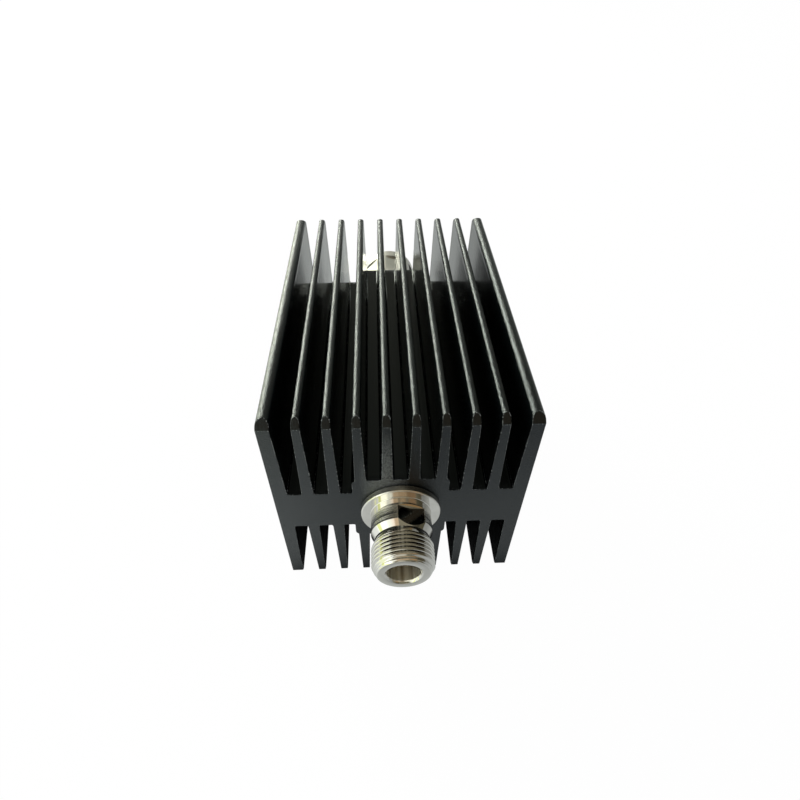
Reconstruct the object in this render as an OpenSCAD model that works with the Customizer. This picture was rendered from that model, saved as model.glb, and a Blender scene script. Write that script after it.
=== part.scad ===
// Coaxial attenuator: a finned heat sink with a jack at the front and a plug at the rear.
// +X runs across the fins, +Y from the jack to the plug, +Z up. The origin is on the
// ground under the middle of the heat sink, level with the lowest fin crests.
// Port pieces are drawn in a port frame: r from the axis, s outward from the heat sink's
// end face, so s is negative inside the heat sink.

/* [Heat sink] */
// Length of the extrusion, along the port axis
body_len = 100; // [84:1:160]
// Width over the outer faces of the side walls
body_w = 66; // [62:0.5:90]
// Height over the crests of the upper and lower fins
body_h = 68.5; // [56:0.5:90]
// Fins on each side, the two side walls included
fin_count = 10; // [8:1:11]
// Thickness of an inner fin at its round crest
fin_tip = 2.0; // [1.6:0.1:2.4]
// Thickness of an inner fin where it leaves the web
fin_root = 3.1; // [2.6:0.1:3.6]
// Thickness of a side wall at its round crest
wall_tip = 3.2; // [2.4:0.1:4.2]
// Thickness of a side wall where it leaves the web
wall_root = 3.8; // [3.4:0.1:5]
// Thickness of the web that carries the fins
web_t = 14.7; // [12:0.1:18]
// Width and height of the square boss round the port axis
boss_w = 25; // [23.6:0.1:28]
// Corner radius of the boss
boss_r = 1.6; // [0.6:0.1:3]
// Fillet radius at the foot of a fin
root_r = 0.5; // [0.2:0.05:0.7]
// Chamfer across the ends of the fin crests
end_chamfer = 2.1; // [0.5:0.1:4]

/* [Port seats] */
// Diameter of the threaded tail that holds a port in the heat sink
tail_d = 16; // [15.5:0.1:17]
// Depth of the threaded seat for a tail
seat_depth = 10; // [8:0.1:12]
// Diameter of a port's flange
flange_d = 21.2; // [20.6:0.1:23]
// Thickness of a port's flange
flange_t = 2; // [1.6:0.1:3]
// Edge break on the flange
flange_edge = 0.25; // [0.1:0.05:0.5]
// Width of the sealing ring's groove
groove_w = 1.3; // [1:0.05:1.4]
// Depth of the sealing ring's groove
groove_deep = 0.8; // [0.6:0.05:1]
// Land between a tail and the groove
groove_land = 0.4; // [0.2:0.05:0.8]

/* [Front jack] */
// Diameter of the round body ahead of the flange
shoulder_d = 15.9; // [15:0.1:17]
// Length of the round body ahead of the flange
shoulder_len = 6; // [5:0.1:9]
// Distance across the two wrench flats
jack_flats = 14.1; // [14:0.05:14.6]
// Full round left between the flange and the wrench flats
flats_land = 2; // [1:0.1:3]
// Turn of the wrench flats about the port axis
jack_turn = 20; // [0:1:90]
// Length of the cone from the round body down to the relief
cone_len = 1.6; // [0.6:0.1:2]
// Diameter of the relief behind the thread
relief_d = 13.9; // [13:0.05:13.95]
// Length of the relief behind the thread
relief_len = 1.6; // [1:0.1:3]
// Outer diameter of the coupling thread
thread_d = 15.875; // [15.5:0.005:16.2]
// Length of full thread
thread_len = 5.9; // [4:0.1:9]
// Length of the tapered nose
nose_len = 2; // [0.5:0.1:3]
// Outer diameter of the flat end face
nose_d = 13.1; // [12:0.1:14]
// Diameter of the countersunk mouth
mouth_d = 9.6; // [8.8:0.05:10]
// Depth of the mouth's countersink
mouth_deep = 0.6; // [0.1:0.05:0.8]
// Bore that takes the mating plug's outer contact
socket_d = 8.4; // [8.1:0.05:8.6]
// Depth of that bore
socket_deep = 9.1; // [8.6:0.1:9.4]

/* [Coaxial line] */
// Inner diameter of the outer conductor
line_d = 7; // [6.6:0.05:7.4]
// Diameter of the centre conductor
centre_d = 3.04; // [2.6:0.02:3.4]
// Diameter of the insulating bead
bead_d = 10.2; // [9.4:0.05:10.6]
// Length of the insulating bead
bead_len = 5; // [3:0.1:6]
// Air line between the jack's bore and its bead
jack_air_len = 4; // [2:0.1:6]
// Diameter of the stop collar behind the bead
stop_d = 4; // [3.6:0.1:5]
// Thickness of the stop collar
stop_t = 1; // [0.5:0.1:2]
// Reach of the jack's contact past the bottom of the bore
contact_reach = 5; // [4.6:0.05:5.3]
// Bore of the jack's contact
contact_bore_d = 1.7; // [1.5:0.02:1.9]
// Depth of the contact's bore
contact_bore_deep = 4.5; // [3:0.1:6]
// Width of the slots between the contact's fingers
slot_w = 0.35; // [0.2:0.05:0.6]
// Length of the slots
slot_len = 4.2; // [2:0.1:5]

/* [Rear plug] */
// Diameter of the plug's neck, which the nut turns on
neck_d = 14.2; // [13.8:0.1:14.6]
// Length of the neck ahead of the flange
neck_len = 6; // [5.4:0.1:8]
// Outer diameter of the plug's outer contact
sleeve_d = 8.03; // [7.9:0.01:8.05]
// Radial step down from the outer contact's root
sleeve_step = 0.5; // [0.3:0.05:0.5]
// Edge break at the end of the outer contact
sleeve_edge = 0.2; // [0.1:0.05:0.3]
// Reach of the outer contact past the neck
sleeve_reach = 10.3; // [9.6:0.1:10.5]
// Wall that holds the outer contact's collar in the neck
neck_wall = 1.5; // [1:0.1:2.5]
// Thickness of the outer contact's collar
collar_t = 2.5; // [1:0.1:3]
// Distance of the pin's step behind the end of the outer contact
pin_step = 5.3; // [5:0.1:5.8]
// Length of the thin end of the pin
pin_len = 2.7; // [2:0.1:3]
// Diameter of the thin end of the pin
pin_d = 1.65; // [1.5:0.01:1.68]
// Radius of the pin's blunt point
pin_point = 0.4; // [0.2:0.05:0.6]
// Outer diameter of the face gasket
gasket_d = 14; // [13:0.1:14.4]
// Inner diameter of the face gasket
gasket_bore_d = 9.2; // [9.1:0.1:10]
// Thickness of the face gasket
gasket_t = 1.5; // [1:0.1:2]

/* [Coupling nut] */
// Outer diameter of the nut
nut_d = 20.4; // [20:0.1:22]
// Distance across the nut's wrench flats
nut_flats = 19; // [18.4:0.1:19.8]
// Length of the nut
nut_len = 16.3; // [15.5:0.1:17]
// Gap between the flange and the nut
nut_gap = 0.8; // [0.3:0.1:1.2]
// Round rim behind the wrench flats
nut_rim = 2.2; // [1:0.1:4]
// Length of the nut's wrench flats
nut_flats_len = 10; // [6:0.1:12]
// Turn of the nut about the port axis
nut_turn = 13; // [0:1:59]
// Edge break on the nut
nut_edge = 0.4; // [0.1:0.05:0.8]
// Length of the nut's wall that runs on the neck
nut_wall = 4.2; // [3.6:0.1:5]
// Bore of the nut's thread
nut_bore_d = 15; // [14.8:0.05:15.4]
// Bore of the clear space behind the nut's thread
nut_relief_d = 16.3; // [15.9:0.1:17]
// Length of the clear space behind the nut's thread
nut_relief_len = 3.3; // [2:0.1:5]
// Lead-in chamfer at the mouth of the nut
nut_lead = 0.5; // [0.2:0.05:0.8]
// Width of the retaining ring
ring_w = 1.1; // [0.8:0.05:1.4]
// Radial height of the retaining ring
ring_h = 1.3; // [1:0.05:1.5]
// Opening of the retaining ring
ring_gap = 1.5; // [0.8:0.1:3]
// Share of the ring's height that sits in the neck
ring_sink = 0.5; // [0.4:0.05:0.6]

/* [Attenuator card] */
// Diameter of the round carrier
carrier_d = 14.8; // [14:0.1:15.2]
// Length of the ceramic card
card_len = 60; // [40:1:62]
// Width of the ceramic card
card_w = 7; // [6:0.1:8]
// Thickness of the ceramic card
card_t = 1; // [0.6:0.05:1.5]
// Thickness of the printed films
film_t = 0.1; // [0.05:0.01:0.2]
// Width of each earth strip along the card's sides
earth_w = 0.7; // [0.4:0.05:1.2]
// Length of the end pads
pad_len = 5; // [3:0.1:8]
// Width of the end pads
pad_w = 2.4; // [1.6:0.1:3]
// Margin that the films leave at the card's ends
film_margin = 0.5; // [0.2:0.1:1]
// Height of the air channel over the card
channel_h = 3; // [2:0.1:4]
// Gap between a centre conductor and the card
card_gap = 0.4; // [0.2:0.05:0.8]
// Length of the flat at the inner end of a centre conductor
flat_len = 3; // [2:0.1:5]
// Reach of a contact tab on each side of the gap
tab_reach = 2; // [1:0.1:3]
// Width of a contact tab
tab_w = 1.6; // [1:0.1:2]
// Thickness of a contact tab
tab_t = 0.1; // [0.05:0.01:0.2]
// Rows of carrier screws along the card
screw_rows = 3; // [2:1:4]
// Spacing of the screw rows
screw_pitch = 24; // [15:1:26]
// Distance of the screws from the port axis
screw_x = 5.4; // [5.2:0.05:5.5]
// Shank diameter of a carrier screw
screw_d = 1.6; // [1.4:0.05:1.7]
// Length of the screw's shank
screw_len = 4.4; // [3:0.1:5]
// Head diameter of a carrier screw
head_d = 2.8; // [2.4:0.05:2.9]
// Head height of a carrier screw
head_h = 1.2; // [0.8:0.05:1.3]
// Distance across the hexagon socket in a screw's head
key_flats = 1.3; // [1:0.05:1.5]
// Depth of that socket
key_deep = 0.6; // [0.4:0.05:0.9]
// Thickness of the cover under a screw head
head_seat = 1; // [0.8:0.05:1.1]

/* [Fits] */
// Radial clearance of pieces that slide together
slip = 0.03; // [0.02:0.01:0.06]
// Radial running clearance of the coupling nut
run = 0.05; // [0.03:0.01:0.08]
// Play of the retaining ring in its grooves
ring_play = 0.1; // [0.05:0.01:0.15]
// End gap of a tail or a screw in its blind hole
end_gap = 0.1; // [0.05:0.05:0.3]

/* [Hidden] */
$fn = 96;
// Facets of the smallest circles
small_fn = 32;
// How far a cut runs past the face that it opens
past = 1;
// How far a joined shape reaches into the one that carries it
sink = 0.3;

axis_z = body_h / 2;
fin_gap = (body_w - 2 * wall_tip - (fin_count - 2) * fin_tip) / (fin_count - 1);
fin_pitch = fin_gap + fin_tip;
inner_fins = [for (i = [0 : fin_count - 3]) (i - (fin_count - 3) / 2) * fin_pitch];

seat_r = tail_d / 2 + slip;
groove_in = seat_r + groove_land;
bead_r = bead_d / 2;
tail_end = -seat_depth + end_gap;

cone_start = flange_t + shoulder_len;
cone_end = cone_start + cone_len;
thread_start = cone_end + relief_len;
thread_end = thread_start + thread_len;
jack_len = thread_end + nose_len;
socket_floor = jack_len - socket_deep;
jack_bead_front = socket_floor - jack_air_len;
jack_bead_back = jack_bead_front - bead_len;

neck_end = flange_t + neck_len;
pocket_front = neck_end - neck_wall;
plug_bead_front = pocket_front - collar_t;
plug_bead_back = plug_bead_front - bead_len;
sleeve_end = neck_end + sleeve_reach;
sleeve_root_r = sleeve_d / 2 + sleeve_step;
pin_shoulder = sleeve_end - pin_step;

nut_back = flange_t + nut_gap;
nut_front = nut_back + nut_len;
nut_wall_end = nut_back + nut_wall;
nut_thread_start = nut_wall_end + nut_relief_len;
ring_mid = nut_back + nut_wall / 2;
ring_in = neck_d / 2 - ring_h * ring_sink;
ring_out = ring_in + ring_h;
ring_slot_start = ring_mid - ring_w / 2 - ring_play;
ring_slot_end = ring_mid + ring_w / 2 + ring_play;

carrier_r = carrier_d / 2;
carrier_len = body_len - 2 * seat_depth;
bed_half = card_w / 2 + slip;
bed_len = card_len + card_gap;
channel_half = card_w / 2 - earth_w;
line_inner_s = -(body_len - card_len) / 2 + card_gap;
screw_rows_y = [for (i = [0 : screw_rows - 1]) (i - (screw_rows - 1) / 2) * screw_pitch];

// Half of a tapered fin's thickness at a height above the port axis
function taper(z, tip, root) =
    (root + (tip - root) * (z - web_t / 2) / (axis_z - tip / 2 - web_t / 2)) / 2;
function fin_half(z) = taper(z, fin_tip, fin_root);
// Inner face of a side wall at a height above the port axis
function wall_face(z) = body_w / 2 - 2 * taper(z, wall_tip, wall_root);

module at_front() {
    translate([0, -body_len / 2, axis_z]) rotate([90, 0, 0]) children();
}

module at_rear() {
    translate([0, body_len / 2, axis_z]) rotate([-90, 0, 0]) children();
}

// A tube or rod on the port axis, between two places along it
module rod(r, s0, s1) {
    translate([0, 0, s0]) cylinder(r = r, h = s1 - s0);
}

module tube(r_out, r_in, s0, s1) {
    difference() {
        rod(r_out, s0, s1);
        rod(r_in, s0 - past, s1 + past);
    }
}

// What is turned away round a hexagon
module flats_cut(flats, r_out, s0, s1) {
    difference() {
        rod(r_out, s0, s1);
        translate([0, 0, s0 - past]) cylinder(d = flats / cos(30), h = s1 - s0 + 2 * past, $fn = 6);
    }
}

module inner_fin(x) {
    crest_z = axis_z - fin_tip / 2;
    translate([x, 0]) {
        polygon([[-fin_half(0), 0], [fin_half(0), 0], [fin_tip / 2, crest_z], [-fin_tip / 2, crest_z]]);
        translate([0, crest_z]) circle(d = fin_tip);
    }
}

module side_wall() {
    crest_z = axis_z - wall_tip / 2;
    polygon([
        [wall_face(0), 0], [body_w / 2, 0],
        [body_w / 2, crest_z], [body_w / 2 - wall_tip, crest_z]
    ]);
    translate([body_w / 2 - wall_tip / 2, crest_z]) circle(d = wall_tip);
}

// Fillet between a floor at height z and a face at x that looks towards dir
module root_fillet(x, z, dir) {
    translate([x, z]) mirror([dir < 0 ? 1 : 0, 0]) difference() {
        translate([-sink, -sink]) square(root_r + sink);
        translate([root_r, root_r]) circle(root_r);
    }
}

// Fillet at one side of an inner fin, on the boss or on the web
module fin_fillet(x, dir) {
    on_boss = abs(x + dir * fin_half(boss_w / 2)) + root_r < boss_w / 2 - boss_r;
    on_web = abs(x + dir * fin_half(web_t / 2)) > boss_w / 2 + root_r;
    floor_z = on_boss ? boss_w / 2 : web_t / 2;
    if (on_boss || on_web)
        root_fillet(x + dir * fin_half(floor_z), floor_z, dir);
}

module boss_section() {
    flat = boss_w - 2 * boss_r;
    square([flat, boss_w], center = true);
    square([boss_w, flat], center = true);
    for (x = [-1, 1], y = [-1, 1])
        translate([x * flat / 2, y * flat / 2]) circle(boss_r);
}

module upper_fins() {
    for (x = inner_fins) {
        inner_fin(x);
        fin_fillet(x, -1);
        fin_fillet(x, 1);
    }
    for (side = [0, 1]) mirror([side, 0]) {
        side_wall();
        root_fillet(wall_face(web_t / 2), web_t / 2, -1);
        root_fillet(boss_w / 2, web_t / 2, 1);
    }
}

module section() {
    square([body_w, web_t], center = true);
    boss_section();
    upper_fins();
    mirror([0, 1]) upper_fins();
}

module heat_sink() {
    color([0.13, 0.14, 0.15])
    difference() {
        translate([0, body_len / 2, axis_z]) rotate([90, 0, 0])
            linear_extrude(height = body_len) section();
        for (y = [-1, 1], z = [-1, 1])
            translate([0, y * body_len / 2, axis_z + z * body_h / 2]) rotate([45, 0, 0])
                cube([body_w + 2 * past, end_chamfer * sqrt(2), end_chamfer * sqrt(2)], center = true);
        at_front() rod(carrier_r + slip, -body_len - past, past);
        at_front() rod(seat_r, -seat_depth, past);
        at_rear() rod(seat_r, -seat_depth, past);
    }
}

// Flange and threaded tail that both ports share
module port_base() {
    rotate_extrude() polygon([
        [0, tail_end], [tail_d / 2 - flange_edge, tail_end], [tail_d / 2, tail_end + flange_edge],
        [tail_d / 2, 0], [flange_d / 2, 0], [flange_d / 2, flange_t - flange_edge],
        [flange_d / 2 - flange_edge, flange_t], [0, flange_t]
    ]);
}

module seal_groove() {
    tube(groove_in + groove_w, groove_in, -past, groove_deep);
}

module seal_ring() {
    ring_cord = groove_w - 2 * slip;
    rotate_extrude() translate([groove_in + groove_w / 2, groove_deep / 2]) intersection() {
        circle(d = ring_cord, $fn = small_fn);
        square([groove_w, groove_deep], center = true);
    }
}

module front_jack_body() {
    color([0.80, 0.80, 0.78])
    at_front() difference() {
        union() {
            port_base();
            rotate_extrude() polygon([
                [0, flange_t - sink], [shoulder_d / 2, flange_t - sink], [shoulder_d / 2, cone_start],
                [relief_d / 2, cone_end], [relief_d / 2, thread_start],
                [thread_d / 2, thread_start], [thread_d / 2, thread_end],
                [nose_d / 2, jack_len], [0, jack_len]
            ]);
        }
        rotate([0, 0, -jack_turn]) for (side = [-1, 1])
            translate([-shoulder_d / 2, side > 0 ? jack_flats / 2 : -shoulder_d, flange_t + flats_land])
                cube([shoulder_d, shoulder_d - jack_flats / 2, cone_end - flange_t - flats_land]);
        seal_groove();
        rod(bead_r, tail_end - past, jack_bead_front);
        rod(line_d / 2, jack_bead_front - past, socket_floor + past);
        rod(socket_d / 2, socket_floor, jack_len + past);
        translate([0, 0, jack_len - mouth_deep])
            cylinder(r1 = socket_d / 2, r2 = mouth_d / 2, h = mouth_deep);
    }
}

// Centre conductor from a given outer end to the card, flat on its upper side at the card
module centre_conductor(s_end, bead_back, up) {
    difference() {
        union() {
            rod(centre_d / 2, line_inner_s, s_end);
            rod(stop_d / 2, bead_back - stop_t, bead_back);
        }
        translate([-centre_d, up > 0 ? 0 : -2 * centre_d, line_inner_s - past])
            cube([2 * centre_d, 2 * centre_d, flat_len + past]);
    }
}

module front_contact() {
    tip = socket_floor + contact_reach;
    color([0.83, 0.68, 0.36])
    at_front() difference() {
        centre_conductor(tip, jack_bead_back, 1);
        rod(contact_bore_d / 2, tip - contact_bore_deep, tip + past);
        for (turn = [0, 90]) rotate([0, 0, turn])
            translate([-slot_w / 2, -centre_d, tip - slot_len])
                cube([slot_w, 2 * centre_d, slot_len + past]);
    }
}

module bead(front) {
    tube(bead_r - slip, centre_d / 2 + slip, front - bead_len, front);
}

module bush(front) {
    tube(bead_r - slip, line_d / 2, -seat_depth, front);
}

module front_bead() {
    color([0.93, 0.93, 0.90]) at_front() bead(jack_bead_front);
}

module front_bush() {
    color([0.80, 0.72, 0.45]) at_front() bush(jack_bead_back);
}

module front_seal_ring() {
    color([0.10, 0.10, 0.10]) at_front() seal_ring();
}

module rear_plug_body() {
    color([0.80, 0.80, 0.78])
    at_rear() difference() {
        union() {
            port_base();
            rod(neck_d / 2, flange_t - sink, neck_end);
        }
        seal_groove();
        tube(neck_d, ring_in - ring_play, ring_slot_start, ring_slot_end);
        rod(bead_r, tail_end - past, pocket_front);
        rod(sleeve_root_r + slip, pocket_front - past, neck_end + past);
    }
}

module rear_outer_contact() {
    color([0.82, 0.80, 0.72])
    at_rear() difference() {
        rotate_extrude() polygon([
            [0, plug_bead_front], [bead_r - slip, plug_bead_front], [bead_r - slip, pocket_front],
            [sleeve_root_r, pocket_front], [sleeve_root_r, neck_end],
            [sleeve_d / 2, neck_end], [sleeve_d / 2, sleeve_end - sleeve_edge],
            [sleeve_d / 2 - sleeve_edge, sleeve_end], [0, sleeve_end]
        ]);
        rod(line_d / 2, plug_bead_front - past, sleeve_end + past);
    }
}

module rear_pin() {
    color([0.83, 0.68, 0.36])
    at_rear() union() {
        centre_conductor(pin_shoulder, plug_bead_back, -1);
        rotate_extrude() polygon([
            [0, pin_shoulder - sink], [pin_d / 2, pin_shoulder - sink],
            [pin_d / 2, pin_shoulder + pin_len - pin_d / 2],
            [pin_point, pin_shoulder + pin_len], [0, pin_shoulder + pin_len]
        ]);
    }
}

module rear_bead() {
    color([0.93, 0.93, 0.90]) at_rear() bead(plug_bead_front);
}

module rear_bush() {
    color([0.80, 0.72, 0.45]) at_rear() bush(plug_bead_back);
}

module rear_seal_ring() {
    color([0.10, 0.10, 0.10]) at_rear() seal_ring();
}

module face_gasket() {
    color([0.72, 0.22, 0.16])
    at_rear() tube(gasket_d / 2, gasket_bore_d / 2, neck_end, neck_end + gasket_t);
}

module retaining_ring() {
    color([0.66, 0.66, 0.64])
    at_rear() difference() {
        tube(ring_out, ring_in, ring_mid - ring_w / 2, ring_mid + ring_w / 2);
        translate([-ring_gap / 2, 0, ring_mid - ring_w])
            cube([ring_gap, ring_out + past, 2 * ring_w]);
    }
}

module coupling_nut() {
    nut_r = nut_d / 2;
    flats_from = nut_back + nut_rim;
    color([0.80, 0.80, 0.78])
    at_rear() difference() {
        rotate_extrude() polygon([
            [0, nut_back], [nut_r - nut_edge, nut_back], [nut_r, nut_back + nut_edge],
            [nut_r, nut_front - nut_edge], [nut_r - nut_edge, nut_front], [0, nut_front]
        ]);
        rotate([0, 0, nut_turn])
            flats_cut(nut_flats, nut_r + past, flats_from, flats_from + nut_flats_len);
        rod(neck_d / 2 + run, nut_back - past, nut_wall_end + past);
        rod(ring_out + ring_play, ring_slot_start, ring_slot_end);
        rod(nut_relief_d / 2, nut_wall_end, nut_thread_start);
        rod(nut_bore_d / 2, nut_thread_start - past, nut_front + past);
        translate([0, 0, nut_front - nut_lead])
            cylinder(r1 = nut_bore_d / 2, r2 = nut_bore_d / 2 + nut_lead, h = nut_lead);
    }
}

// Half of the round carrier, below or above the plane of the card's films
module carrier_half(up) {
    intersection() {
        translate([0, carrier_len / 2, axis_z]) rotate([90, 0, 0])
            cylinder(r = carrier_r, h = carrier_len);
        translate([-carrier_d, -body_len, up > 0 ? axis_z : axis_z - 2 * carrier_d])
            cube([2 * carrier_d, 2 * body_len, 2 * carrier_d]);
    }
}

module line_ends() {
    at_front() rod(line_d / 2, -seat_depth - (carrier_len - bed_len) / 2, past);
    at_rear() rod(line_d / 2, -seat_depth - (carrier_len - bed_len) / 2, past);
}

module screw_places() {
    for (x = [-screw_x, screw_x], y = screw_rows_y)
        translate([x, y, axis_z]) children();
}

module carrier_base() {
    color([0.72, 0.73, 0.74])
    difference() {
        carrier_half(-1);
        line_ends();
        translate([-bed_half, -bed_len / 2 - sink, axis_z - card_t - film_t])
            cube([2 * bed_half, bed_len + 2 * sink, carrier_d]);
        screw_places() translate([0, 0, head_seat - screw_len - end_gap])
            cylinder(d = screw_d, h = screw_len + past, $fn = small_fn);
    }
}

module carrier_cover() {
    color([0.72, 0.73, 0.74])
    difference() {
        carrier_half(1);
        line_ends();
        translate([-channel_half, -bed_len / 2 - sink, axis_z - past])
            cube([2 * channel_half, bed_len + 2 * sink, channel_h + past]);
        screw_places() {
            translate([0, 0, -past]) cylinder(r = screw_d / 2 + slip, h = carrier_d, $fn = small_fn);
            translate([0, 0, head_seat]) cylinder(r = head_d / 2 + slip, h = carrier_d, $fn = small_fn);
        }
    }
}

module carrier_screws() {
    color([0.45, 0.45, 0.46])
    screw_places() difference() {
        union() {
            translate([0, 0, head_seat - screw_len])
                cylinder(d = screw_d, h = screw_len + sink, $fn = small_fn);
            translate([0, 0, head_seat])
                cylinder(d = head_d, h = head_h, $fn = small_fn);
        }
        translate([0, 0, head_seat + head_h - key_deep])
            cylinder(d = key_flats / cos(30), h = key_deep + past, $fn = 6);
    }
}

module ceramic_card() {
    color([0.95, 0.94, 0.90])
    translate([-card_w / 2, -card_len / 2, axis_z - card_t - film_t]) cube([card_w, card_len, card_t]);
}

// A printed film on the card, between two places across and along it
module film(x0, x1, y0, y1) {
    translate([x0, y0, axis_z - film_t]) cube([x1 - x0, y1 - y0, film_t]);
}

module film_electrodes() {
    film_end = card_len / 2 - film_margin;
    color([0.78, 0.78, 0.80]) {
        for (side = [0, 1]) mirror([side, 0, 0])
            film(card_w / 2 - earth_w, card_w / 2, -film_end, film_end);
        for (side = [0, 1]) mirror([0, side, 0])
            film(-pad_w / 2, pad_w / 2, film_end - pad_len, film_end);
    }
}

module resistive_film() {
    film_half = card_len / 2 - film_margin - pad_len;
    color([0.20, 0.19, 0.18]) film(-channel_half, channel_half, -film_half, film_half);
}

module tab(side) {
    gap_mid = card_len / 2 + card_gap / 2;
    half = tab_reach + card_gap / 2;
    color([0.85, 0.72, 0.38])
    translate([-tab_w / 2, side * gap_mid - half, axis_z]) cube([tab_w, 2 * half, tab_t]);
}

module front_tab() {
    tab(-1);
}

module rear_tab() {
    tab(1);
}

heat_sink();
front_jack_body();
front_contact();
front_bead();
front_bush();
front_seal_ring();
rear_plug_body();
rear_outer_contact();
rear_pin();
rear_bead();
rear_bush();
rear_seal_ring();
face_gasket();
retaining_ring();
coupling_nut();
carrier_base();
carrier_cover();
carrier_screws();
ceramic_card();
film_electrodes();
resistive_film();
front_tab();
rear_tab();
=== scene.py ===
# %% [markdown]
# # A coaxial attenuator, dressed for its picture
# The object is a finned block of black anodised aluminium that turns radio power into
# heat. A nickel-plated jack sits on its front end and a plug with a turning nut on its
# rear end. The CAD frame already holds every solid in its right place, so this lesson
# adds only what a solid can't show: real threads, broken edges, finishes, light and camera.

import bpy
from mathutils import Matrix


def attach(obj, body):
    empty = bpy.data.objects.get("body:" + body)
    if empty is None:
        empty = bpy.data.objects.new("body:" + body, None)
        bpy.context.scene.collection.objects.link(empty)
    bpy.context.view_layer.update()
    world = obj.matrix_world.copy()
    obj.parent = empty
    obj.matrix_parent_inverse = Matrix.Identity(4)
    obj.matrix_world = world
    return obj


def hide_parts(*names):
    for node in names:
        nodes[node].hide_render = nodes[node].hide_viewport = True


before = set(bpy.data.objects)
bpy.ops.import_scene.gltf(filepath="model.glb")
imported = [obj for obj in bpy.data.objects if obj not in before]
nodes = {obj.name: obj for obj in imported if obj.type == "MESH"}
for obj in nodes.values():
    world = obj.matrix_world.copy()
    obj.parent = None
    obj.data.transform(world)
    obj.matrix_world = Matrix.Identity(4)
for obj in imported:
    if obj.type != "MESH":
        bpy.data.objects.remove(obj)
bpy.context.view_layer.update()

# %% Modules and units
import math

import bmesh
import bpy
from mathutils import Matrix, Quaternion, Vector

MM = 0.001  # lengths are in millimetres and scaled once, unless a comment says metres
AXIS_Z = 34.25  # height of the port axis over the ground
HALF_LEN = 50.0  # from the middle of the heat sink to either end face
MERGE_WITHIN = 1e-4  # points closer than this count as one
print("port axis", AXIS_Z, "mm up, end faces", HALF_LEN, "mm from the middle")

# %% [markdown]
# ## The camera
# The picture was taken from in front and well above, close enough for the fins to
# converge strongly. A camera like that can be found by trying, or by fitting a pinhole
# to known corners of the object. It was fitted, so the numbers are exact and not round.


# %% Helper: data into the scene
def add_object(name, data):
    """Makes an object of a mesh, camera or light and links it to the scene."""
    made = bpy.data.objects.new(name, data)
    bpy.context.scene.collection.objects.link(made)
    return made


# %% Place the camera
CAMERA_AT = (-4.442, -129.789, 154.358)
PITCH_DOWN = math.radians(44.766)
YAW_RIGHT = math.radians(2.8487)
ROLL = math.radians(0.6292)
LENS, SENSOR_WIDTH = 23.696, 36.0
CLIP_NEAR, CLIP_FAR = 0.005, 20.0  # in metres

ahead = Vector((math.sin(YAW_RIGHT) * math.cos(PITCH_DOWN),
                math.cos(YAW_RIGHT) * math.cos(PITCH_DOWN),
                -math.sin(PITCH_DOWN)))
level_right = Vector((math.cos(YAW_RIGHT), -math.sin(YAW_RIGHT), 0.0))
level_up = level_right.cross(ahead)
right = math.cos(ROLL) * level_right + math.sin(ROLL) * level_up
up = math.cos(ROLL) * level_up - math.sin(ROLL) * level_right

camera_data = bpy.data.cameras.new("photo_camera")
camera_data.lens = LENS
camera_data.sensor_width = SENSOR_WIDTH
camera_data.clip_start = CLIP_NEAR
camera_data.clip_end = CLIP_FAR
camera = add_object("photo_camera", camera_data)
turn = Matrix((right, up, -ahead)).transposed().to_4x4()
camera.matrix_world = Matrix.Translation(Vector(CAMERA_AT) * MM) @ turn
bpy.context.scene.camera = camera
bpy.context.scene.view_settings.view_transform = "Standard"
print("camera at", tuple(round(c, 4) for c in camera.matrix_world.translation))

# %% [markdown]
# ## A short way to wire nodes
# Materials, the world and Geometry Nodes are all graphs. They could be drawn by hand in
# the editor, but a script can be read and run again. One helper makes a node, sets its
# options, and fills each input with a plain value or a link from another socket, so that
# a graph reads like a recipe. Four steps that come back all the time get helpers too.


# %% Helper: one node at a time
def put(tree, kind, inputs=None, **options):
    """Adds a node. inputs maps a socket's name or index to a value or another socket."""
    made = tree.nodes.new(kind)
    for name, value in options.items():
        setattr(made, name, value)
    for key, value in (inputs or {}).items():
        if isinstance(value, bpy.types.NodeSocket):
            tree.links.new(value, made.inputs[key])
        else:
            made.inputs[key].default_value = value
    return made


# %% Helpers: sums, ramps, mixed colours and noise
def maths(tree, operation, *values):
    """Adds a Math node and returns its result."""
    return put(tree, "ShaderNodeMath", dict(enumerate(values)), operation=operation).outputs[0]


def ramp(tree, value, low, high, at_low=0.0, at_high=1.0, smooth=False):
    """Runs from at_low to at_high while value goes from low to high, and holds past both."""
    return put(tree, "ShaderNodeMapRange", {
        "Value": value, "From Min": low, "From Max": high, "To Min": at_low,
        "To Max": at_high}, interpolation_type="SMOOTHSTEP" if smooth else "LINEAR",
        clamp=True).outputs[0]


def mixed(tree, mask, under, over):
    """One colour over another where a mask says so. Each is three numbers or a socket."""
    under, over = (colour if isinstance(colour, bpy.types.NodeSocket) else (*colour, 1.0)
                   for colour in (under, over))
    return put(tree, "ShaderNodeMix", {0: mask, 6: under, 7: over},
               data_type="RGBA").outputs[2]


def noise(tree, place, scale, detail=1.0, roughness=0.5, distortion=0.0):
    """Soft random patches round one half, scale of them to a metre."""
    return put(tree, "ShaderNodeTexNoise", {
        "Vector": place, "Scale": scale, "Detail": detail, "Roughness": roughness,
        "Distortion": distortion}).outputs[0]
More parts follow.
